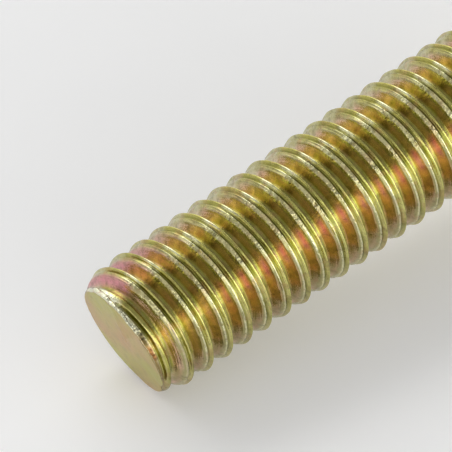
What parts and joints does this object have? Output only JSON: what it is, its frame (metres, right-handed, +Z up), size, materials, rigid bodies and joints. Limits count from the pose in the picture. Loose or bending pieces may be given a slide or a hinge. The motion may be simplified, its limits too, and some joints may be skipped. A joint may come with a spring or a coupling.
{
  "type": "stove bolt",
  "caption": "Slotted round-head stove bolt with a coarse right-hand thread nearly up to the head, in yellow-passivated zinc, lying on its side.",
  "frame": {"origin": "centre of the bolt's bounding box, on the floor that it lies on", "axes": "+Z up, +X along the bolt, lying on its side, towards the head; the head end is a little higher than the tip"},
  "size_m": [0.0376, 0.0146, 0.0145],
  "materials": {
    "yellow_zinc": "yellow-passivated zinc plate, glossy olive gold with pink and green tints"
  },
  "bodies": {
    "root": {"stove_bolt": "yellow_zinc"}
  },
  "joints": []
}
